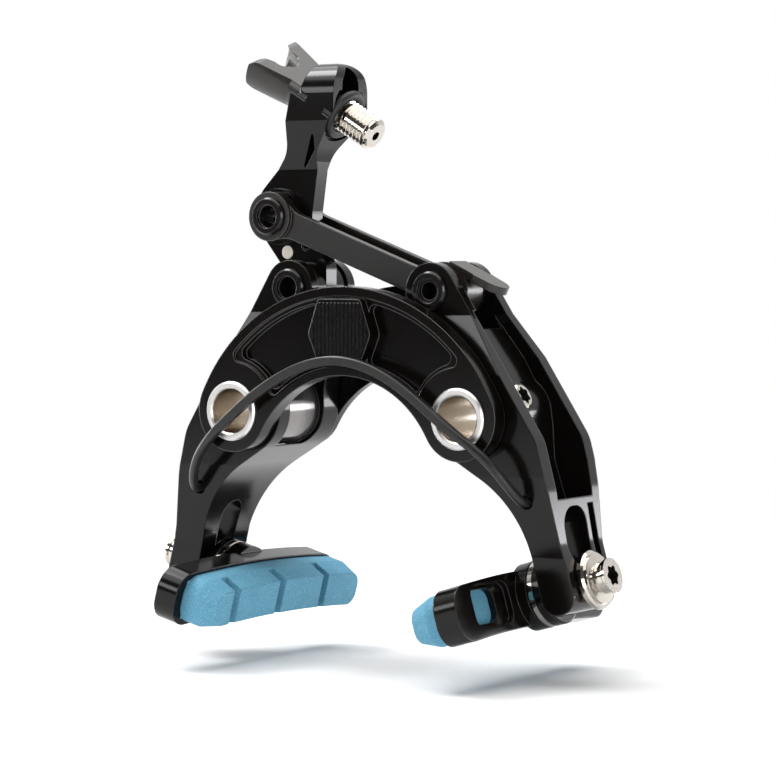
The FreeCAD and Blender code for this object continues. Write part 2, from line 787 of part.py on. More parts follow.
def cable_arm_bush():
    half = lobe_gap / 2 - side_clear
    bore = pivot_bolt_dia / 2
    return tube_y(pivot_a, bore + cable_bush_wall, bore + running_fit, centre_y - half, centre_y + half)


def link_plate(front, back, outward):
    """One flat link with an eye at each end; the eye on the cable arm swells outwards."""
    way, length = unit(pivot_c, pivot_b)
    half = link_bar_height / 2
    bar = rounded_face([(0, -half, 0), (length, -half, 0), (length, half, 0), (0, half, 0)])
    plate = prism(bar, front, back)
    plate = plate.fuse(round_y((0, 0), link_eye_radius, front, back))
    plate = plate.fuse(round_y((length, 0), link_eye_radius, front, back)).removeSplitter()
    creases = []
    for edge in plate.Edges:
        ends = [vertex.Point for vertex in edge.Vertexes]
        upright = len(ends) == 2 and abs(ends[0].x - ends[1].x) + abs(ends[0].z - ends[1].z) < 1e-6
        if upright and link_eye_radius * 0.5 < ends[0].x < length - link_eye_radius * 0.5:
            creases.append(edge)
    plate = plate.makeFillet(6.0, creases)
    swell_front = front - link_eye_swell if outward < 0 else back
    swell_back = swell_front + link_eye_swell
    plate = plate.fuse(round_y((0, 0), link_eye_radius, swell_front, swell_back))
    plate = plate.cut(round_y((0, 0), pivot_bolt_dia / 2 + running_fit, swell_front - 5, swell_back + 5))
    open_eye = open_pin_dia / 2 + open_pivot_clear
    plate = plate.cut(round_y((length, 0), open_eye, front - 5, back + 5)).removeSplitter()
    plate.rotate(ORIGIN, Y_AXIS, -math.degrees(math.atan2(way[1], way[0])))
    plate.translate(point(pivot_c[0], 0, pivot_c[1]))
    return plate


# Quick release: a drum on the right arm's pivot with a thumb tongue
def quick_release_lever():
    drum = round_y((0, 0), drum_radius, core_front, core_back)
    half = tongue_width / 2
    root = (core_back - core_front) / 2
    top = drum_radius + tongue_proud
    link_reach = link_eye_radius + open_pivot_clear + body_clear
    neck = math.sqrt(link_reach ** 2 - (top - tongue_thick) ** 2)
    lower = [(-1.0, root), (neck, root), (neck + half - root, half), (tongue_length - half, half * 0.9)]
    near = [point(along, -across, 0) for along, across in lower]
    beyond = [point(along, across, 0) for along, across in reversed(lower)]
    edges = [Part.LineSegment(a, b).toShape() for a, b in zip(near, near[1:])]
    edges.append(Part.Arc(near[-1], point(tongue_length, 0, 0), beyond[0]).toShape())
    edges += [Part.LineSegment(a, b).toShape() for a, b in zip(beyond, beyond[1:])]
    edges.append(Part.LineSegment(beyond[-1], near[0]).toShape())
    tongue = Part.Face(Part.Wire(edges)).extrude(point(0, 0, -tongue_thick))
    tongue.translate(point(0, centre_y, top))
    lever = drum.fuse(tongue)
    lever = lever.cut(round_y((0, 0), open_pin_dia / 2 + running_fit, core_front - 5, core_back + 5))
    way_start = point(-2 * drum_radius, centre_y, cable_way_height)
    cable_way = Part.makeCylinder(stud_hole_dia / 2, 2 * drum_radius, way_start, point(1, 0, 0))
    lever = lever.cut(cable_way)
    lever = lever.cut(clamp_screw_space(slip_fit))
    return at_pivot_b(lever)


def clamp_way():
    """Outwards along the cable clamp screw, up and to the left of the drum's axis."""
    turn = math.radians(clamp_screw_turn)
    return point(-math.sin(turn), 0, math.cos(turn))


def clamp_screw_space(extra):
    """The cable clamp screw's place in the drum, across the cable way."""
    start = clamp_way() * (open_pin_dia / 2 + pivot_wall) + point(0, centre_y, 0)
    return Part.makeCylinder(clamp_screw_dia / 2 + extra, drum_radius, start, clamp_way())


def at_pivot_b(shape):
    placed = shape.copy()
    placed.rotate(ORIGIN, Y_AXIS, tongue_fall)
    placed.translate(point(pivot_b[0], 0, pivot_b[1]))
    return placed


def cable_clamp_screw():
    screw = clamp_screw_space(0).common(round_y((0, 0), drum_radius - 0.2, core_front, core_back))
    star = lobed_star(clamp_screw_dia * 0.34, drum_radius)
    star.Placement = FreeCAD.Placement(clamp_way() * (drum_radius - 1.4) + point(0, centre_y, 0),
                                       FreeCAD.Rotation(point(1, 0, 0), clamp_way()))
    return at_pivot_b(screw.cut(star))


# Barrel adjuster: hollow stud, friction ring and a knob with two petals
def barrel_adjuster():
    crest = stud_dia / 2
    hole = stud_hole_dia / 2
    start = -knob_start - stud_seat
    profile = [(start, hole), (start, crest), (stud_reach - stud_chamfer, crest),
               (stud_reach, crest - stud_chamfer), (stud_reach, hole)]
    return along_adjuster(revolve_x(profile))


def adjuster_o_ring():
    middle = stud_dia / 2 + running_fit + o_ring_thick / 2
    ring = Part.makeTorus(middle, o_ring_thick / 2, ORIGIN, point(1, 0, 0))
    ring.translate(point(stud_start + o_ring_thick / 2, 0, 0))
    return along_adjuster(ring)


def adjuster_knob():
    """A flared cup for the cable housing, cut down to two round-ended petals that the fingers turn."""
    seat = stud_dia / 2 + slip_fit
    housing = housing_dia / 2
    seat_end = knob_start + stud_seat
    neck_end = knob_start + knob_neck
    flare = seat_end + housing_grip
    knob_end = knob_start + knob_length
    profile = [(-knob_start, seat), (-knob_start, knob_neck_radius), (-neck_end, knob_neck_radius),
               (-neck_end - 0.8, knob_body_radius), (-flare, knob_body_radius), (-knob_end, knob_tip_radius),
               (-knob_end - edge_break, knob_tip_radius - knob_wall * 0.6),
               (-knob_end + 2 * edge_break, knob_tip_radius - knob_wall),
               (-flare, housing), (-seat_end, housing), (-seat_end, seat)]
    knob = revolve_x(profile)
    half = petal_width / 2
    petals = rounded_face([(-knob_end - 0.6, -half, half * 0.8), (-neck_end, -half, 0), (-neck_end, half, 0),
                           (-knob_end - 0.6, half, half * 0.8)])
    petals = prism(petals, -2 * knob_tip_radius, 2 * knob_tip_radius)
    petals.rotate(ORIGIN, point(1, 0, 0), 90)
    neck = Part.makeCylinder(knob_neck_radius + 1, neck_end, point(-neck_end, 0, 0), point(1, 0, 0))
    knob = knob.common(petals.fuse(neck))
    saddle = knob_start + knob_saddle
    notch = rounded_face([(-2 * knob_end, -housing, 0), (-saddle, -housing, housing * 0.8),
                          (-saddle, housing, housing * 0.8), (-2 * knob_end, housing, 0)])
    knob = knob.cut(prism(notch, -3 * knob_tip_radius, 3 * knob_tip_radius))
    knob.rotate(ORIGIN, point(1, 0, 0), -petal_turn)
    return along_adjuster(knob.removeSplitter())


# Pads: friction block, holder and its fixings, in the pad bolt's own frame
def bent_profile(station, length, height, centre, radius):
    """A round-cornered outline across the bolt, at a place along it, bent to follow the rim."""
    end, half = length / 2, height / 2
    inner = end - radius

    def spot(along, up):
        return point(station, centre + along, up)

    def bent(along, up):
        return up - pad_arc_radius + math.sqrt(pad_arc_radius ** 2 - along ** 2)

    def rounding(side, up):
        """From the end's straight edge to the bent edge at one corner: start, middle and finish."""
        way = math.copysign(1, up)
        start = (side * end, bent(end, up) - way * radius)
        finish = (side * inner, bent(inner, up))
        share = math.sqrt(0.5)
        middle = (side * (inner + radius * share), start[1] + (finish[1] - start[1]) * share)
        return [spot(*start), spot(*middle), spot(*finish)]

    top_left, top_right = rounding(-1, half), rounding(1, half)
    low_left, low_right = rounding(-1, -half), rounding(1, -half)
    edges = [Part.Arc(*top_left).toShape(),
             Part.Arc(top_left[2], spot(0, half), top_right[2]).toShape(),
             Part.Arc(*reversed(top_right)).toShape(),
             Part.LineSegment(top_right[0], low_right[0]).toShape(),
             Part.Arc(*low_right).toShape(),
             Part.Arc(low_right[2], spot(0, -half), low_left[2]).toShape(),
             Part.Arc(*reversed(low_left)).toShape(),
             Part.LineSegment(low_left[0], top_left[0]).toShape()]
    return Part.Wire(edges)


def bent_bar(station, depth, length, height, centre, radius):
    return Part.Face(bent_profile(station, length, height, centre, radius)).extrude(point(depth, 0, 0))


def brake_pad():
    face_length = pad_length - 2 * pad_end_slope
    face_radius = pad_end_radius * pad_face_height / pad_height
    waist_station = holder_face - pad_stand * pad_waist
    waist = bent_profile(waist_station, pad_length, pad_height, pad_shift, pad_end_radius)
    face = bent_profile(pad_face, face_length, pad_face_height, pad_shift, face_radius)
    root = Part.Face(waist).extrude(point(holder_face - waist_station, 0, 0))
    block = root.fuse(Part.makeLoft([waist, face], True, True))
    for step in (-1, 0, 1):
        middle = pad_shift + groove_shift + step * groove_pitch
        groove = Part.makeBox(groove_depth + 1, groove_width, 3 * pad_height,
                              point(pad_face - 1, middle - groove_width / 2, -1.5 * pad_height))
        block = block.cut(groove)
    back_length = holder_length - 2 * holder_end_wall
    back = bent_bar(holder_face, pad_back_depth, back_length, pad_back_height, holder_shift, edge_break)
    return block.fuse(back).removeSplitter()


def pad_holder():
    body = bent_bar(holder_face, holder_depth, holder_length, holder_height, holder_shift, holder_end_radius)
    boss = Part.makeCylinder(holder_boss_dia / 2, holder_boss_depth + 1, point(holder_back - 1, 0, 0),
                             point(1, 0, 0))
    body = body.fuse(boss)
    recess_length = holder_length - 2 * holder_end_wall + 2 * slip_fit
    recess_height = pad_back_height + 2 * slip_fit
    recess_depth = pad_back_depth + slip_fit
    body = body.cut(bent_bar(holder_face, recess_depth, recess_length, recess_height, holder_shift, edge_break))
    for side in (-1, 1):
        middle = side * window_out
        scoop = middle - side * (scoop_length - window_length) / 2
        body = body.cut(oblong(window_length, window_height, window_corner, holder_face - 1, middle))
        body = body.cut(oblong(scoop_length, scoop_height, window_corner, holder_back - scoop_depth, scoop))
    bore = Part.makeCylinder(pad_bolt_dia / 2 + slip_fit, 40, point(holder_face - 1, 0, 0), point(1, 0, 0))
    return body.cut(bore).removeSplitter()


def oblong(length, height, radius, station, centre):
    """A round-cornered opening along the bolt, from a station outwards."""
    face = rounded_face([(-length / 2, -height / 2, radius), (length / 2, -height / 2, radius),
                         (length / 2, height / 2, radius), (-length / 2, height / 2, radius)])
    opening = face.extrude(point(0, -4 * holder_depth, 0))
    opening.rotate(ORIGIN, point(0, 0, 1), 90)
    opening.translate(point(station, centre, 0))
    return opening


def dished_washer():
    """A cup washer: flat on the leg, hollowed on the side of its domed mate."""
    rim = washer_dia / 2
    bore = pad_bolt_dia / 2 + body_clear
    return revolve_x([(-half_leg, bore), (-half_leg, rim - edge_break), (-half_leg - edge_break, rim),
                      (dished_station, rim), (dished_station + dish_depth, bore)])


def domed_washer():
    rim = washer_dia / 2
    bore = pad_bolt_dia / 2 + body_clear
    return revolve_x([(dished_station + dish_depth, bore), (dished_station, rim),
                      (domed_station + edge_break, rim), (domed_station, rim - edge_break),
                      (domed_station, bore)])


def outer_washer():
    rim = outer_washer_dia / 2
    bore = pad_bolt_dia / 2 + slip_fit
    face = half_leg + outer_washer_thick
    return revolve_x([(half_leg, bore), (half_leg, rim - edge_break), (half_leg + edge_break, rim),
                      (face - edge_break, rim), (face, rim - edge_break), (face, bore)])


def pad_bolt():
    seat = half_leg + outer_washer_thick
    head = pad_bolt_head_dia / 2
    waist = head - pad_bolt_waist
    top = seat + pad_bolt_head_height
    flange = seat + pad_bolt_flange_thick
    tip = holder_face + pad_back_depth + slip_fit
    profile = [(tip, 0), (tip, pad_bolt_dia / 2), (seat, pad_bolt_dia / 2), (seat, pad_bolt_flange_dia / 2),
               (flange, pad_bolt_flange_dia / 2), (flange + 2 * pad_bolt_waist, waist),
               (top - 3 * pad_bolt_waist, waist), (top - 2 * pad_bolt_waist, head), (top, head), (top, 0)]
    star = lobed_star(torx_dia / 2, 2 * torx_depth)
    star.translate(point(top - torx_depth, 0, 0))
    return revolve_x(profile).cut(star)


# Assembly
pieces = {
    "front_bridge_plate": front_bridge_plate(),
    "rear_bridge_plate": rear_bridge_plate(),
    "return_spring": return_spring(),
    "left_arm": swung(left_of(arm_with_pivot(pivot_bolt_dia)), -1),
    "right_arm": swung(right_arm(), 1),
    "centring_screw": swung(centring_screw(), 1),
    "cable_arm": cable_arm(),
    "cable_arm_bush": cable_arm_bush(),
    "stop_dowel": stop_dowel(),
    "keeper_screw": keeper_screw(),
    "cable_arm_pivot_bolt": pivot_bolt(pivot_a, pivot_bolt_dia, lobe_front, lobe_back),
    "cable_arm_pivot_nut": pivot_nut(pivot_a, pivot_bolt_dia, lobe_back),
    "link_pivot_bolt": pivot_bolt(pivot_c, pivot_bolt_dia, eye_front, eye_back),
    "link_pivot_nut": pivot_nut(pivot_c, pivot_bolt_dia, eye_back),
    "release_pivot_bolt": pivot_bolt(pivot_b, open_pin_dia, lobe_front, lobe_back),
    "release_pivot_nut": pivot_nut(pivot_b, open_pin_dia, lobe_back),
    "front_link": link_plate(link_front, link_front + link_plate_thick, -1),
    "rear_link": link_plate(link_back - link_plate_thick, link_back, 1),
    "quick_release_lever": quick_release_lever(),
    "cable_clamp_screw": cable_clamp_screw(),
    "barrel_adjuster": barrel_adjuster(),
    "adjuster_o_ring": adjuster_o_ring(),
    "adjuster_knob": adjuster_knob(),
}
paired = {
    "mount_bush": mount_bush(),
    "front_thrust_washer": thrust_washer(front_plate_back),
    "rear_thrust_washer": thrust_washer(arm_back),
    "arm_bearing": arm_bearing(),
    "brake_pad": at_foot(brake_pad()),
    "pad_holder": at_foot(pad_holder()),
    "dished_washer": at_foot(dished_washer()),
    "domed_washer": at_foot(domed_washer()),
    "outer_washer": at_foot(outer_washer()),
    "pad_bolt": at_foot(pad_bolt()),
}
for name, shape in paired.items():
    pieces["right_" + name] = swung(shape, 1)
    pieces["left_" + name] = swung(left_of(shape), -1)

os.makedirs("parts", exist_ok=True)
for name, shape in pieces.items():
    shape.exportStep("parts/" + name + ".step")
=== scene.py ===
import math

import bmesh
import bpy
import numpy
from mathutils import Matrix, Vector


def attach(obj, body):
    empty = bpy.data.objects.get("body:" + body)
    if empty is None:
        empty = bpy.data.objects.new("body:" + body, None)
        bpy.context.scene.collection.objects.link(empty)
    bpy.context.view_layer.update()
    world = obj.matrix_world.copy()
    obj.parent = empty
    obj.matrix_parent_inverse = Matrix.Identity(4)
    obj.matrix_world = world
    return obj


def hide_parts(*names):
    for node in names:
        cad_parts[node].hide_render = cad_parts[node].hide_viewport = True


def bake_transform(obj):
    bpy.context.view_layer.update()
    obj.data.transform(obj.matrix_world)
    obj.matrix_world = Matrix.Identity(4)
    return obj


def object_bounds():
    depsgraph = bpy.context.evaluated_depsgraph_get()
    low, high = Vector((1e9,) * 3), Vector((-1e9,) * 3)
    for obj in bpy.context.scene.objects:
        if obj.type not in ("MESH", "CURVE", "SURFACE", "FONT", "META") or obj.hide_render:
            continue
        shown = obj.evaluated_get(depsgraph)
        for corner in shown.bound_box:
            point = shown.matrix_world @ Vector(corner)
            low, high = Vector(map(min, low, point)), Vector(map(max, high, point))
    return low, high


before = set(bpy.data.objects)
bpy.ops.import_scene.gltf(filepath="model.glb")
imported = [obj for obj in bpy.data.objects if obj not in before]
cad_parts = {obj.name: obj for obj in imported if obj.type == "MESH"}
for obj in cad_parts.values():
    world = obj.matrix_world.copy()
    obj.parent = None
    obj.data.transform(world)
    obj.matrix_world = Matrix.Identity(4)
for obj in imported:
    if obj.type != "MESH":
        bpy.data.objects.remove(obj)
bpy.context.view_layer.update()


# Bridge plates: two arched aluminium plates, milled and black anodised. They sandwich the arms, and the
# front one has a stepped pocket on each side of a six-sided field.
MM = 0.001
MICRON = 0.001 * MM
BEVEL_SAMPLES = 6
BLAST_SCALE, BLAST_DEPTH = 5200.0, 3.0 * MICRON
CLOUD_SCALE = 120.0
DYE_DARK, DYE_PALE = (0.0026, 0.0021, 0.0018), (0.0044, 0.0036, 0.0032)
# Painted highlight: a paler colour on edges, where the softened normal turns away from the face.
EDGE_HIGHLIGHT_PAINT = (0.12, 0.112, 0.108)
EDGE_HIGHLIGHT_STARTS, EDGE_HIGHLIGHT_FULL = 0.97, 0.80


class Shade:
    """A socket of a node tree. Arithmetic on it adds Math nodes."""

    def __init__(self, tree, socket=None):
        self.tree = tree
        self.socket = socket

    def node(self, kind, settings=(), sockets=(), output=0):
        """Add a node: its settings first, then the values or links of its sockets."""
        made = self.tree.nodes.new("ShaderNode" + kind)
        for name, value in dict(settings).items():
            setattr(made, name, value)
        for name, value in dict(sockets).items():
            if isinstance(value, Shade):
                self.tree.links.new(value.socket, made.inputs[name])
            else:
                made.inputs[name].default_value = value
        return Shade(self.tree, made.outputs[output] if len(made.outputs) else None)

    def math(self, operation, first, second):
        return self.node("Math", {"operation": operation}, {0: first, 1: second})

    def __add__(self, other):
        return self.math("ADD", self, other)

    def __sub__(self, other):
        return self.math("SUBTRACT", self, other)

    def __rsub__(self, other):
        return self.math("SUBTRACT", other, self)

    def __mul__(self, other):
        return self.math("MULTIPLY", self, other)

    def __gt__(self, other):
        return self.math("GREATER_THAN", self, other)

    def __lt__(self, other):
        return self.math("LESS_THAN", self, other)

    __radd__ = __add__
    __rmul__ = __mul__


def cleared(owner):
    """The emptied node tree of a material or a world."""
    owner.use_nodes = True
    owner.node_tree.nodes.clear()
    return Shade(owner.node_tree)


def finish(name, paint):
    """A material whose Principled sockets are what paint returns for a new node tree."""
    material = bpy.data.materials.new(name)
    start = cleared(material)
    surface = start.node("BsdfPrincipled", {}, paint(start))
    start.node("OutputMaterial", {}, {"Surface": surface})
    return material


def grain(start, scale, stretch=(1.0, 1.0, 1.0), detail=2.0):
    """Noise over the piece's own metres, finer along the axes that stretch multiplies."""
    place = start.node("TexCoord", output="Object")
    drawn = start.node("VectorMath", {"operation": "MULTIPLY"}, {0: place, 1: stretch})
    return start.node("TexNoise", {}, {"Vector": drawn, "Scale": scale, "Detail": detail})


def tint(start, share, low, high):
    """A colour between two, each plain or already mixed, by a share from 0 to 1."""
    low, high = [colour if isinstance(colour, Shade) else (*colour, 1.0) for colour in (low, high)]
    return start.node("Mix", {"data_type": "RGBA"}, {0: share, 6: low, 7: high}, 2)


def rise(start, value, foot, head, low=0.0, high=1.0, curve="LINEAR"):
    """Goes from low to high while the value goes from foot to head, and stays level beyond them."""
    return start.node("MapRange", {"interpolation_type": curve},
                      {"Value": value, "From Min": foot, "From Max": head, "To Min": low, "To Max": high})


def softened(start, radius):
    """The normal of a surface whose edges have a small radius."""
    return start.node("Bevel", {"samples": BEVEL_SAMPLES}, {"Radius": radius})


def relief(start, height, depth, edges=None):
    """A normal that follows a height map, over softened edges where they are given."""
    sockets = {"Height": height, "Distance": depth}
    if edges is not None:
        sockets["Normal"] = edges
    return start.node("Bump", {}, sockets)


def anodised(greyness=1.0, roughness=0.10, shine=0.24, edge=0.4 * MM, edge_highlight_strength=1.0):
    """Black anodised aluminium: a fine blasted skin over a faintly cloudy dye, painted paler on edges as a
    highlight.
    """
    def paint(start):
        blasted = grain(start, BLAST_SCALE)
        cloud = grain(start, CLOUD_SCALE)
        dark, pale = [tuple(greyness * part for part in dye) for dye in (DYE_DARK, DYE_PALE)]
        edges = softened(start, edge)
        facing = start.node("NewGeometry", output="Normal")
        agreed = start.node("VectorMath", {"operation": "DOT_PRODUCT"}, {0: edges, 1: facing}, "Value")
        # Painted highlight on edges: the share of the paler colour grows as the softened normal turns away.
        painted_edge_highlight = rise(start, agreed, EDGE_HIGHLIGHT_STARTS, EDGE_HIGHLIGHT_FULL, high=edge_highlight_strength)
        return {"Base Color": tint(start, painted_edge_highlight, tint(start, cloud, dark, pale), EDGE_HIGHLIGHT_PAINT),
                "Roughness": roughness + cloud * 0.04 + blasted * 0.05,
                "Specular IOR Level": shine,
                "Normal": relief(start, blasted, BLAST_DEPTH, edges)}

    return paint


def dress(material, *nodes):
    """Give solids of the part a finish."""
    for name in nodes:
        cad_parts[name].material_slots[0].material = material


black_anodised = finish("black_anodised_satin", anodised())
dress(black_anodised, "front_bridge_plate", "rear_bridge_plate")

# Badge ribs: fifteen fine upright ribs raised on the face of the front plate's six-sided field, and
# anodised with it. Each ends in a hip just inside the field's edge.
BADGE_FACE = -29.7 * MM
BADGE_FOOT, BADGE_WAIST, BADGE_TOP = 10.55 * MM, 16.49 * MM, 23.75 * MM
BADGE_SHOULDER, BADGE_HALF = 5.2 * MM, 7.7 * MM
RIBS_PER_SIDE = 7
RIB_PITCH, RIB_HALF, RIB_HEIGHT, RIB_MARGIN = 0.94 * MM, 0.33 * MM, 0.2 * MM, 0.7 * MM
RIB_SUNK, RIB_SLOPE = RIB_HEIGHT * 0.2, RIB_HALF * 0.55
RIB_FACES = ((0, 1, 2, 3), (4, 5, 6, 7), (0, 1, 5, 4), (1, 2, 6, 5), (2, 3, 7, 6), (3, 0, 4, 7))
CREASE = math.radians(30.0)


def add_piece(name, corners, faces, material):
    """A closed mesh of the scene's own, with a crease where its faces meet at a wide angle."""
    mesh = bpy.data.meshes.new(name)
    mesh.from_pydata(corners, [], faces)
    form = bmesh.new()
    form.from_mesh(mesh)
    bmesh.ops.recalc_face_normals(form, faces=form.faces)
    for face in form.faces:
        face.smooth = True
    for edge in form.edges:
        edge.smooth = len(edge.link_faces) == 2 and edge.calc_face_angle() < CREASE
    form.to_mesh(mesh)
    form.free()
    mesh.materials.append(material)
    piece = bpy.data.objects.new(name, mesh)
    bpy.context.collection.objects.link(piece)
    return piece


fine_anodised = finish("black_anodised_fine", anodised(edge=0.12 * MM, edge_highlight_strength=0.0))
corners, faces = [], []
for number in range(-RIBS_PER_SIDE, RIBS_PER_SIDE + 1):
    middle = number * RIB_PITCH
    share = min(1.0, (BADGE_HALF - abs(middle)) / (BADGE_HALF - BADGE_SHOULDER))
    bottom = BADGE_WAIST - share * (BADGE_WAIST - BADGE_FOOT) + RIB_MARGIN
    top = BADGE_WAIST + share * (BADGE_TOP - BADGE_WAIST) - RIB_MARGIN
    first = len(corners)
    for inset, depth in ((0.0, RIB_SUNK), (RIB_SLOPE, -RIB_HEIGHT)):
        left, right = middle - RIB_HALF + inset, middle + RIB_HALF - inset
        low, high = bottom + inset, top - inset
        ring = ((left, low), (right, low), (right, high), (left, high))
        corners += [(x, BADGE_FACE + depth, z) for x, z in ring]
    faces += [[first + place for place in face] for face in RIB_FACES]
ribs = add_piece("badge_ribs", corners, faces, fine_anodised)
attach(ribs, "bridge")

# Mount bushes: flanged tubes of turned steel that clamp the bridge to the frame and carry the arms. The
# collar is bright; the bore is painted darker and warmer as shade inside it, and keeps the rings that the
# boring tool left.
SIDES = {"left": -1, "right": 1}
MOUNT_HALF_SPACING = 28.0 * MM
BACKWARD = (0.0, 1.0, 0.0)
BORE_LIMIT = 4.75 * MM
RING_SCALE, RING_STRETCH, RING_DETAIL = 40.0, (1.0, 90.0, 1.0), 3.0
COLLAR_DARK, COLLAR_PALE = (0.58, 0.565, 0.55), (0.70, 0.69, 0.68)
# Painted shade inside the bore: darker and warmer than the collar.
BORE_SHADE_DARK, BORE_SHADE_PALE = (0.40, 0.35, 0.29), (0.62, 0.56, 0.48)


def mount_spot(side):
    """The middle of a mount, which its arm turns about."""
    return (side * MOUNT_HALF_SPACING, 0.0, 0.0)


def offset_from(start, spot):
    """The way from a spot to the surface, in metres."""
    place = start.node("TexCoord", output="Object")
    return start.node("VectorMath", {"operation": "SUBTRACT"}, {0: place, 1: spot})


def from_axis(start, spot, way):
    """How far the surface lies from an axis through a spot, in metres."""
    offset = offset_from(start, spot)
    arm = start.node("VectorMath", {"operation": "CROSS_PRODUCT"}, {0: offset, 1: way})
    return start.node("VectorMath", {"operation": "LENGTH"}, {0: arm}, "Value")


def tool_rings(start):
    """Fine rings round the fore-and-aft axis, as a cutting tool leaves them."""
    return grain(start, RING_SCALE, RING_STRETCH, RING_DETAIL)


def bored(side):
    """Bright steel on the collar, and in the bore a shinier steel painted darker and warmer as shade."""
    def paint(start):
        rings = tool_rings(start)
        bore = from_axis(start, mount_spot(side), BACKWARD) < BORE_LIMIT
        collar = tint(start, rings, COLLAR_DARK, COLLAR_PALE)
        # The bore's colour carries painted shade.
        painted_shade_inside = tint(start, rings, BORE_SHADE_DARK, BORE_SHADE_PALE)
        return {"Base Color": tint(start, bore, collar, painted_shade_inside),
                "Metallic": 1.0,
                "Roughness": 0.30 + rings * 0.10 - bore * 0.10,
                "Normal": relief(start, rings, 12.0 * MICRON, softened(start, 0.2 * MM))}

    return paint


for hand, side in SIDES.items():
    dress(finish(hand + "_bored_steel", bored(side)), hand + "_mount_bush")

# Thrust washers, arm bearings and the cable arm's bush: dark moulded polymer that runs on the bushes and
# the pivot bolt without grease.
POLYMER_DARK, POLYMER_PALE = (0.022, 0.021, 0.020), (0.045, 0.043, 0.041)


def polymer(start):
    mottle = grain(start, 900.0)
    return {"Base Color": tint(start, mottle, POLYMER_DARK, POLYMER_PALE),
            "Roughness": 0.42 + mottle * 0.18,
            "Normal": relief(start, mottle, 10.0 * MICRON)}


dark_polymer = finish("dark_polymer", polymer)
for hand in SIDES:
    dress(dark_polymer, hand + "_front_thrust_washer", hand + "_rear_thrust_washer", hand + "_arm_bearing")
dress(dark_polymer, "cable_arm_bush")

# Arms: forged and milled aluminium channels, black anodised, with a barrel round the bearing, a fork at
# the top for the linkage and a slotted foot for the pad. The barrel is bare polished metal where the window
# shows it, with a painted highlight that brightens it towards the front.
BARREL_RADIUS, BARREL_ALLOWANCE = 8.2 * MM, 0.12 * MM
# Painted highlight on the barrel: the bare metal fades in from black towards the front.
PAINTED_HIGHLIGHT_STARTS, PAINTED_HIGHLIGHT_FULL, POLISH_ENDS = 7.0 * MM, 16.0 * MM, 20.5 * MM
POLISH_AND_HIGHLIGHT_COLOUR = (0.22, 0.21, 0.205)
FORWARD = (0.0, -1.0, 0.0)


def along_axis(start, spot, way):
    """How far along an axis the surface lies from a spot, in metres."""
    offset = offset_from(start, spot)
    return start.node("VectorMath", {"operation": "DOT_PRODUCT"}, {0: offset, 1: way}, "Value")


def arm_finish(side):
    """Black, with bare metal on the wheel side of the barrel and a painted highlight that brightens it
    towards the front.
    """
    def paint(start):
        sockets = anodised(edge_highlight_strength=0.4)(start)
        spot = mount_spot(side)
        barrel = from_axis(start, spot, BACKWARD) < BARREL_RADIUS + BARREL_ALLOWANCE
        forward = along_axis(start, spot, FORWARD)
        wheel_side = along_axis(start, spot, (side, 0.0, 0.0)) < 0.0
        # Painted highlight: the metal colour and metal share rise towards the front of the barrel.
        painted_highlight_ramp = rise(start, forward, PAINTED_HIGHLIGHT_STARTS, PAINTED_HIGHLIGHT_FULL, curve="SMOOTHSTEP")
        polish_and_painted_highlight = barrel * (forward < POLISH_ENDS) * wheel_side * painted_highlight_ramp
        sockets["Metallic"] = polish_and_painted_highlight * 0.9
        sockets["Base Color"] = tint(start, polish_and_painted_highlight, sockets["Base Color"], POLISH_AND_HIGHLIGHT_COLOUR)
        return sockets

    return paint


for hand, side in SIDES.items():
    dress(finish(hand + "_arm_black", arm_finish(side)), hand + "_arm")

# Return spring: one arched length of blackened spring wire, its ends hooked into the two legs. It is built
# in two halves from the crown.
BLACK_DARK, BLACK_PALE = (0.012, 0.0112, 0.0108), (0.024, 0.0225, 0.0215)
ARM_HANG = math.radians(1.0)
SPRING_PLANE, SPRING_CROWN = -31.25 * MM, 11.2 * MM
HOOK_OUT, HOOK_UP = 12.6 * MM, -16.6 * MM
HOOK_BEND, HOOK_MOUTH, HOOK_END = -27.4 * MM, -24.4 * MM, -22.0 * MM
ROUTE_POINTS = 241
WIRE_CORNERS, WIRE_HALF = 20, 0.98 * MM
BAND_THINNING, BAND_CORNER = 0.12 * MM, 1.22
ROUND_RINGS, CHANGING_RINGS = 34, 22


def blackened(start):
    scale = grain(start, 700.0)
    drawn = grain(start, 3000.0)
    return {"Base Color": tint(start, scale, BLACK_DARK, BLACK_PALE),
            "Metallic": 0.35,
            "Roughness": 0.30 + scale * 0.14,
            "Normal": relief(start, drawn, 6.0 * MICRON)}


def hung(side, out, up):
    """Where a spot of an arm lies, given from its mount: both arms hang a little to the right."""
    across, sine, cosine = side * out, math.sin(ARM_HANG), math.cos(ARM_HANG)
    return (side * MOUNT_HALF_SPACING + across * cosine - up * sine, across * sine + up * cosine)


def smooth_route(spots, count):
    """Points along the smoothest curve through the given spots, evenly spread over its knots."""
    spots = numpy.array(spots)
    steps = numpy.linalg.norm(numpy.diff(spots, axis=0), axis=1)
    knots = numpy.concatenate(([0.0], numpy.cumsum(steps)))
    system = numpy.eye(len(spots))
    pull = numpy.zeros((len(spots), 3))
    for at in range(1, len(spots) - 1):
        before, after = steps[at - 1], steps[at]
        system[at, at - 1:at + 2] = before, 2 * (before + after), after
        pull[at] = 6 * ((spots[at + 1] - spots[at]) / after - (spots[at] - spots[at - 1]) / before)
    bend = numpy.linalg.solve(system, pull)
    route = []
    for place in numpy.linspace(0.0, knots[-1], count):
        at = min(int(numpy.searchsorted(knots, place, side="right")) - 1, len(steps) - 1)
        late = (place - knots[at]) / steps[at]
        early = 1 - late
        sag = (early ** 3 - early) * bend[at] + (late ** 3 - late) * bend[at + 1]
        route.append(Vector(early * spots[at] + late * spots[at + 1] + sag * steps[at] ** 2 / 6))
    return route


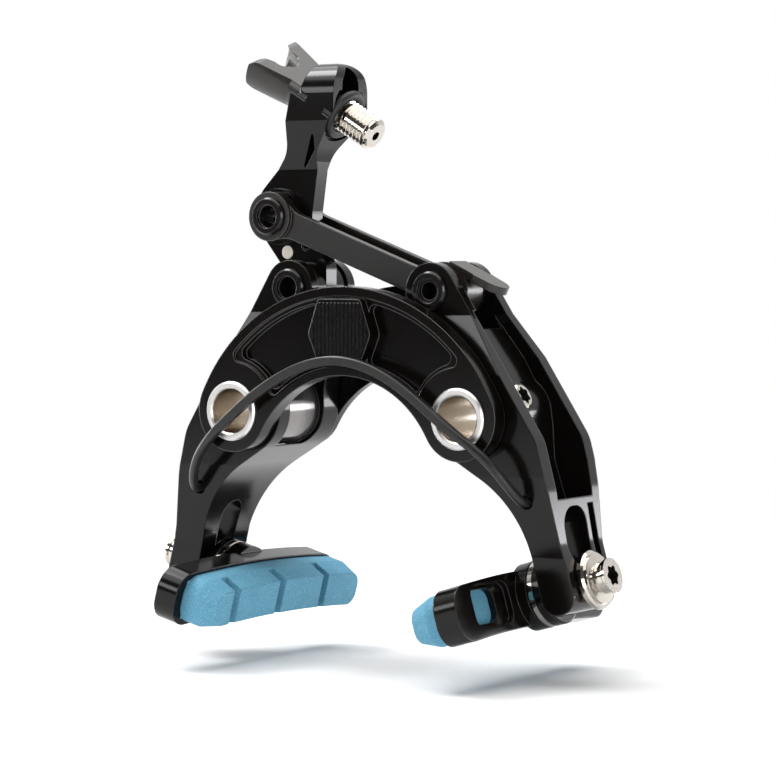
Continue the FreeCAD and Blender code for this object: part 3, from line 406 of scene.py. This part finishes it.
def wire_section(flat):
    """Points round the wire: a circle at its ends, drawn to a flat-faced band along the arch."""
    section = []
    for number in range(WIRE_CORNERS):
        turn = 2 * math.pi * number / WIRE_CORNERS
        across, up = math.cos(turn), math.sin(turn)
        square = 1 / max(abs(across), abs(up))
        reach = 1 + flat * (min(square, BAND_CORNER) - 1)
        section.append((across * reach * (WIRE_HALF - BAND_THINNING * flat), up * reach * WIRE_HALF))
    return section


def band(near, beyond, count):
    """The faces between two rings of as many corners, given by the first corner of each."""
    return [(near + step, near + (step + 1) % count, beyond + (step + 1) % count, beyond + step)
            for step in range(count)]


blackened_steel = finish("blackened_steel", blackened)
hooks = {side: hung(side, HOOK_OUT, HOOK_UP) for side in SIDES.values()}
spots = {}
for side, (hook_x, hook_z) in hooks.items():
    spots[side] = [(side * 14.0 * MM, SPRING_PLANE, 7.3 * MM),
                   (side * 27.6 * MM, SPRING_PLANE, -2.0 * MM),
                   (hook_x - side * 6.0 * MM, SPRING_PLANE + 1.0 * MM, hook_z + 9.0 * MM),
                   (hook_x - side * 1.4 * MM, HOOK_BEND, hook_z + 2.8 * MM),
                   (hook_x, HOOK_MOUTH, hook_z),
                   (hook_x, HOOK_END, hook_z)]
route = smooth_route(spots[-1][::-1] + [(0.0, SPRING_PLANE, SPRING_CROWN)] + spots[1], ROUTE_POINTS)
crown = min(range(len(route)), key=lambda at: abs(route[at].x))
for name, side, arm in (("spring_left_half", -1, "left_arm_body"),
                        ("spring_right_half", 1, "right_arm_body")):
    half = route[crown::side]
    corners, faces = [], []
    up = Vector((0.0, 0.0, 1.0))
    for at, spot in enumerate(half):
        way = (half[min(at + 1, len(half) - 1)] - half[max(at - 1, 0)]).normalized()
        up = (up - way * up.dot(way)).normalized()
        out = way.cross(up)
        flat = min(1.0, max(0.0, (len(half) - ROUND_RINGS - at) / CHANGING_RINGS))
        corners += [tuple(spot + out * across + up * lift) for across, lift in wire_section(flat)]
    for ring in range(len(half) - 1):
        faces += band(ring * WIRE_CORNERS, (ring + 1) * WIRE_CORNERS, WIRE_CORNERS)
    faces += [tuple(range(WIRE_CORNERS)), tuple(range(len(corners) - WIRE_CORNERS, len(corners)))]
    wire = add_piece(name, corners, faces, blackened_steel)
    hook_x, hook_z = hooks[side]
    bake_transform(wire)
    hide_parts("return_spring")

# Centring screw: a short screw of bright turned steel with a driver socket in its head. It is screwed into
# a boss in the right arm's channel.
MID_PLANE = -14.0 * MM
CENTRING_FORWARD, CENTRING_TOP, CENTRING_SOCKET = 3.4 * MM, 9.9 * MM, 2.0 * MM
CENTRING_LIFT = math.radians(27.0)
STEEL_DARK, STEEL_PALE = (0.46, 0.42, 0.37), (0.64, 0.61, 0.57)
# Driver sockets are painted black as shade inside them.
SOCKET_PAINTED_SHADE, SOCKET_RIM = (0.004, 0.0035, 0.003), 0.1 * MM


def turned(start):
    rings = tool_rings(start)
    haze = grain(start, 260.0)
    return {"Base Color": tint(start, rings, STEEL_DARK, STEEL_PALE),
            "Metallic": 1.0,
            "Roughness": 0.05 + rings * 0.07 + haze * 0.03,
            "Normal": relief(start, rings, 10.0 * MICRON)}


def driven(spot, way, top, socket_radius):
    """Turned steel with a driver socket painted black as shade inside it."""
    def paint(start):
        sockets = turned(start)
        painted_shade_inside = from_axis(start, spot, way) < socket_radius
        sunk = along_axis(start, spot, way) < top - SOCKET_RIM
        # Painted shade in the socket: black, not metallic, and rougher.
        socket = painted_shade_inside * sunk
        sockets["Base Color"] = tint(start, socket, sockets["Base Color"], SOCKET_PAINTED_SHADE)
        sockets["Metallic"] = 1 - socket
        sockets["Roughness"] = sockets["Roughness"] + socket * 0.4
        return sockets

    return paint


def leaning(angle):
    """A way in the arms' own plane, turned up by an angle from the brake's right."""
    return (math.cos(angle), 0.0, math.sin(angle))


centring_spot = (MOUNT_HALF_SPACING, MID_PLANE - CENTRING_FORWARD, 0.0)
centring_paint = driven(centring_spot, leaning(CENTRING_LIFT + ARM_HANG), CENTRING_TOP, CENTRING_SOCKET)
dress(finish("centring_steel", centring_paint), "centring_screw")

# Cable arm and twin link: milled aluminium levers, black anodised. The link's plates join the cable arm to
# the right arm, and they are blasted to a greyer satin.
dress(fine_anodised, "cable_arm")
grey_anodised = finish("grey_anodised_blasted", anodised(greyness=2.2, roughness=0.26, shine=0.45))
dress(grey_anodised, "front_link", "rear_link")

# Pivot bolts and nuts: hollow steel bolts with low round heads, each with a thin nut behind, all coated in a
# satin black. The keeper screw is black too, and the stop dowel is steel with a matt ground end.
GROUND_DARK, GROUND_PALE = (0.55, 0.50, 0.43), (0.78, 0.73, 0.66)


def ground(start):
    scratches = grain(start, 1500.0, (1.0, 1.0, 6.0))
    return {"Base Color": tint(start, scratches, GROUND_DARK, GROUND_PALE),
            "Metallic": 0.4,
            "Roughness": 0.38 + scratches * 0.16,
            "Normal": relief(start, scratches, 6.0 * MICRON)}


bolt_paint = anodised(greyness=1.4, roughness=0.14, shine=0.3, edge=0.3 * MM, edge_highlight_strength=0.5)
dress(finish("satin_black_bolt", bolt_paint), "cable_arm_pivot_bolt", "cable_arm_pivot_nut",
      "link_pivot_bolt", "link_pivot_nut", "release_pivot_bolt", "release_pivot_nut", "keeper_screw")
dress(finish("ground_steel", ground), "stop_dowel")

# Quick release: an aluminium drum with a thumb tongue on the pivot at the top of the right arm, anodised a
# dark grey, and a blackened steel screw that clamps the cable in it.
finger_paint = anodised(greyness=5.0, roughness=0.24, shine=0.45, edge=0.25 * MM, edge_highlight_strength=0.3)
finger_anodised = finish("dark_grey_anodised", finger_paint)
dress(finger_anodised, "quick_release_lever")
dress(blackened_steel, "cable_clamp_screw")

# Barrel adjuster: a hollow steel stud with a rolled thread, a rubber friction ring, and a knob with two
# petals in the grey of the quick release. It turns in the head of the cable arm.
HEAD_SPOT = (-12.0 * MM, MID_PLANE, 63.6 * MM)
ADJUSTER_FALL = math.radians(31.0)
STUD_RADIUS, STUD_HOLE, STUD_BACK, STUD_TIP = 3.5 * MM, 1.0 * MM, -5.5 * MM, 12.3 * MM
STUD_CHAMFER, STUD_FACETS = 0.8 * MM, 48
CORE_END = STUD_TIP - 0.25 * MM
THREAD_ROOT, THREAD_PITCH = 2.92 * MM, 1.0 * MM
THREAD_START, THREAD_END, THREAD_LIMIT = 3.4 * MM, STUD_TIP - 0.3 * MM, STUD_TIP - 0.02 * MM
FLANK_HALF, CREST_HALF, FLANK_SUNK = 0.44 * MM, 0.10 * MM, -0.08
THREAD_SHAPE = ((-FLANK_HALF, FLANK_SUNK), (-CREST_HALF, 1.0), (CREST_HALF, 1.0), (FLANK_HALF, FLANK_SUNK))
RUBBER_DARK, RUBBER_PALE = (0.006, 0.006, 0.006), (0.014, 0.0135, 0.013)


def round_spot(along, reach, step):
    """A spot on the stud, before it is tilted into place."""
    turn = 2 * math.pi * step / STUD_FACETS
    return (along, reach * math.cos(turn), reach * math.sin(turn))


turned_steel = finish("turned_steel", turned)
core = [(STUD_BACK, STUD_HOLE), (STUD_BACK, STUD_RADIUS), (THREAD_START, STUD_RADIUS),
        (THREAD_START, THREAD_ROOT), (CORE_END, THREAD_ROOT), (STUD_TIP, STUD_RADIUS - STUD_CHAMFER),
        (STUD_TIP, STUD_HOLE)]
corners, faces = [], []
for hoop, (along, reach) in enumerate(core):
    corners += [round_spot(along, reach, step) for step in range(STUD_FACETS)]
    faces += band(hoop * STUD_FACETS, (hoop + 1) % len(core) * STUD_FACETS, STUD_FACETS)
first, width = len(corners), len(THREAD_SHAPE)
thread_steps = int((THREAD_END - THREAD_START) / THREAD_PITCH * STUD_FACETS)
for step in range(thread_steps + 1):
    middle = THREAD_START + THREAD_PITCH * step / STUD_FACETS
    for offset, share in THREAD_SHAPE:
        along = min(middle + offset, THREAD_LIMIT)
        chamfer = STUD_RADIUS - max(0.0, along - STUD_TIP + STUD_CHAMFER)
        reach = min(THREAD_ROOT + (STUD_RADIUS - THREAD_ROOT) * share, chamfer)
        corners.append(round_spot(along, reach, step))
for step in range(thread_steps):
    faces += band(first + step * width, first + (step + 1) * width, width)
faces += [tuple(range(first, first + width)), tuple(range(len(corners) - width, len(corners)))]
placing = Matrix.Translation(HEAD_SPOT) @ Matrix.Rotation(ADJUSTER_FALL, 4, "Y")
placed = [tuple(placing @ Vector(corner)) for corner in corners]
stud = add_piece("threaded_stud", placed, faces, turned_steel)
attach(stud, "adjuster")
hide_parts("barrel_adjuster")


def rubber(start):
    skin = grain(start, 1800.0)
    return {"Base Color": tint(start, skin, RUBBER_DARK, RUBBER_PALE),
            "Roughness": 0.42 + skin * 0.2,
            "Normal": relief(start, skin, 10.0 * MICRON)}


dress(finish("black_rubber", rubber), "adjuster_o_ring")
dress(finger_anodised, "adjuster_knob")

# Pad holders: aluminium trays with an oval window near each end, black anodised. The pad bolts clamp them
# to the feet of the arms.
dress(finish("black_anodised_tray", anodised(edge_highlight_strength=0.25)), "left_pad_holder", "right_pad_holder")

# Brake pads: moulded blue friction compound with pale filler specks, cut across by three grooves. They sit
# in the trays of the holders.
COMPOUND_DARK, COMPOUND_PALE = (0.072, 0.258, 0.388), (0.112, 0.328, 0.462)
SPECK_PALE, SPECK_STARTS, SPECK_FULL, SPECK_SHARE = (0.32, 0.56, 0.68), 0.50, 0.70, 0.5


def compound(start):
    specks = grain(start, 3600.0, detail=5.0)
    clouds = grain(start, 240.0)
    body = tint(start, clouds, COMPOUND_DARK, COMPOUND_PALE)
    pale = rise(start, specks, SPECK_STARTS, SPECK_FULL, high=SPECK_SHARE)
    return {"Base Color": tint(start, pale, body, SPECK_PALE),
            "Roughness": 0.62 + specks * 0.25,
            "Specular IOR Level": 0.35,
            "Normal": relief(start, specks, 50.0 * MICRON, softened(start, 0.5 * MM))}


dress(finish("blue_compound", compound), "left_brake_pad", "right_brake_pad")

# Pad fixings: polished steel bolt, outer washer and domed washer, and a black dished washer that lets the
# pad tilt.
PAD_BOLT_OUT, PAD_BOLT_UP, PAD_BOLT_LEAN = 18.2 * MM, -33.7 * MM, math.radians(15.5)
PAD_BOLT_TOP, PAD_BOLT_SOCKET = 8.9 * MM, 2.3 * MM
for hand, side in SIDES.items():
    dress(turned_steel, hand + "_domed_washer", hand + "_outer_washer")
    dress(black_anodised, hand + "_dished_washer")
    x, z = hung(side, PAD_BOLT_OUT, PAD_BOLT_UP)
    lean = PAD_BOLT_LEAN if side > 0 else math.pi - PAD_BOLT_LEAN
    pad_bolt_paint = driven((x, MID_PLANE, z), leaning(lean + ARM_HANG), PAD_BOLT_TOP, PAD_BOLT_SOCKET)
    dress(finish(hand + "_pad_bolt_steel", pad_bolt_paint), hand + "_pad_bolt")

# Studio: a pale floor just below the pads that fades into a white surround. In reflections the surround is
# white behind the brake and dim on the camera's side, as in a tent with an open front.
FLOOR_DROP, FLOOR_RADIUS, FLOOR_SEGMENTS = 0.009, 1.4, 96
FLOOR_GREY = (0.9, 0.9, 0.9, 1.0)
FADE_START, FADE_END = 0.16, 0.36
MIRRORED_START, MIRRORED_END = 0.54, 0.9
low_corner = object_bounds()[0]
form = bmesh.new()
bmesh.ops.create_circle(form, cap_ends=True, segments=FLOOR_SEGMENTS, radius=FLOOR_RADIUS)
sheet = bpy.data.meshes.new("floor")
form.to_mesh(sheet)
form.free()
floor = bpy.data.objects.new("floor", sheet)
floor.location = (0.0, 0.0, low_corner[2] - FLOOR_DROP)
bpy.context.collection.objects.link(floor)

floor_paper = bpy.data.materials.new("floor_paper")
start = cleared(floor_paper)
place = start.node("TexCoord", output="Object")
level = start.node("VectorMath", {"operation": "MULTIPLY"}, {0: place, 1: (1.0, 1.0, 0.0)})
reach = start.node("VectorMath", {"operation": "LENGTH"}, {0: level}, "Value")
ray_glossy = start.node("LightPath", output="Is Glossy Ray")
fade_start = FADE_START + ray_glossy * MIRRORED_START
fade_end = FADE_END + ray_glossy * MIRRORED_END
fade = rise(start, reach, fade_start, fade_end, curve="SMOOTHSTEP")
paper = start.node("BsdfDiffuse", {}, {"Color": FLOOR_GREY})
clear = start.node("BsdfTransparent")
start.node("OutputMaterial", {}, {"Surface": start.node("MixShader", {}, {0: fade, 1: paper, 2: clear})})
sheet.materials.append(floor_paper)

SURROUND_WAY = (-0.45, 0.85, 0.28)
TENT_DIM, TENT_STARTS, TENT_FULL = 0.10, -0.25, 0.45
SOFT_LEVEL = 0.12
WHITE = (1.0, 1.0, 1.0)
world = bpy.data.worlds.new("studio")
bpy.context.scene.world = world
start = cleared(world)
way = start.node("TexCoord", output="Generated")
behind = start.node("VectorMath", {"operation": "DOT_PRODUCT"}, {0: way, 1: SURROUND_WAY}, "Value")
tent = rise(start, behind, TENT_STARTS, TENT_FULL, low=TENT_DIM, curve="SMOOTHSTEP")
ray_camera = start.node("LightPath", output="Is Camera Ray")
ray_glossy = start.node("LightPath", output="Is Glossy Ray")
ray_through = start.node("LightPath", output="Is Transmission Ray")
seen = start.math("MAXIMUM", ray_camera, ray_through)
cast = start.math("MAXIMUM", ray_glossy * tent, (1 - ray_glossy) * SOFT_LEVEL)
strength = start.math("MAXIMUM", seen, cast)
light = start.node("Background", {}, {"Color": (*WHITE, 1.0), "Strength": strength})
start.node("OutputWorld", {}, {"Surface": light})

AIM = Vector((0.0, -0.015, 0.012))


def softbox(name, place, width, height, radiance, colour=WHITE):
    """A rectangular light of an even radiance that faces the brake."""
    lamp = bpy.data.lights.new(name, "AREA")
    lamp.shape = "RECTANGLE"
    lamp.size = width
    lamp.size_y = height
    lamp.energy = radiance * math.pi * width * height
    lamp.color = colour
    box = bpy.data.objects.new(name, lamp)
    box.location = place
    box.rotation_euler = (AIM - Vector(place)).to_track_quat("-Z", "Y").to_euler()
    box.visible_camera = False
    bpy.context.collection.objects.link(box)


softbox("right_box", (0.52, 0.78, -0.01), 0.50, 0.20, 11.0, (0.97, 0.96, 1.0))
softbox("top_box", (-0.10, -0.03, 0.90), 1.30, 1.30, 2.9)
softbox("rim_box", (-0.50, -0.08, 0.76), 0.30, 0.30, 13.0)
softbox("ramp_box", (-0.52, -0.738, 0.272), 0.34, 0.22, 7.0)
softbox("left_box", (-0.90, 0.05, 0.12), 0.25, 0.60, 9.0)
softbox("edge_strip", (0.80, -0.54, 0.06), 0.20, 0.60, 9.0)

# Camera: a long lens just above the height of the bridge. It stands to the right of the brake's front by a
# little more than a third of a right angle.
LENS_PIXELS, IMAGE_PIXELS = 3090.0, 776.0
CAMERA_SPOT = (0.3567, -0.5485, 0.03505)
CAMERA_TARGET = (0.01178, -0.0293, 0.00587)
camera_data = bpy.data.cameras.new("camera")
camera_data.sensor_width = 36.0
camera_data.lens = camera_data.sensor_width * LENS_PIXELS / IMAGE_PIXELS
camera_data.clip_start = 0.01
camera = bpy.data.objects.new("camera", camera_data)
camera.location = CAMERA_SPOT
camera.rotation_euler = (Vector(CAMERA_TARGET) - camera.location).to_track_quat("-Z", "Y").to_euler()
bpy.context.collection.objects.link(camera)
bpy.context.scene.camera = camera
bpy.context.scene.view_settings.view_transform = "Standard"
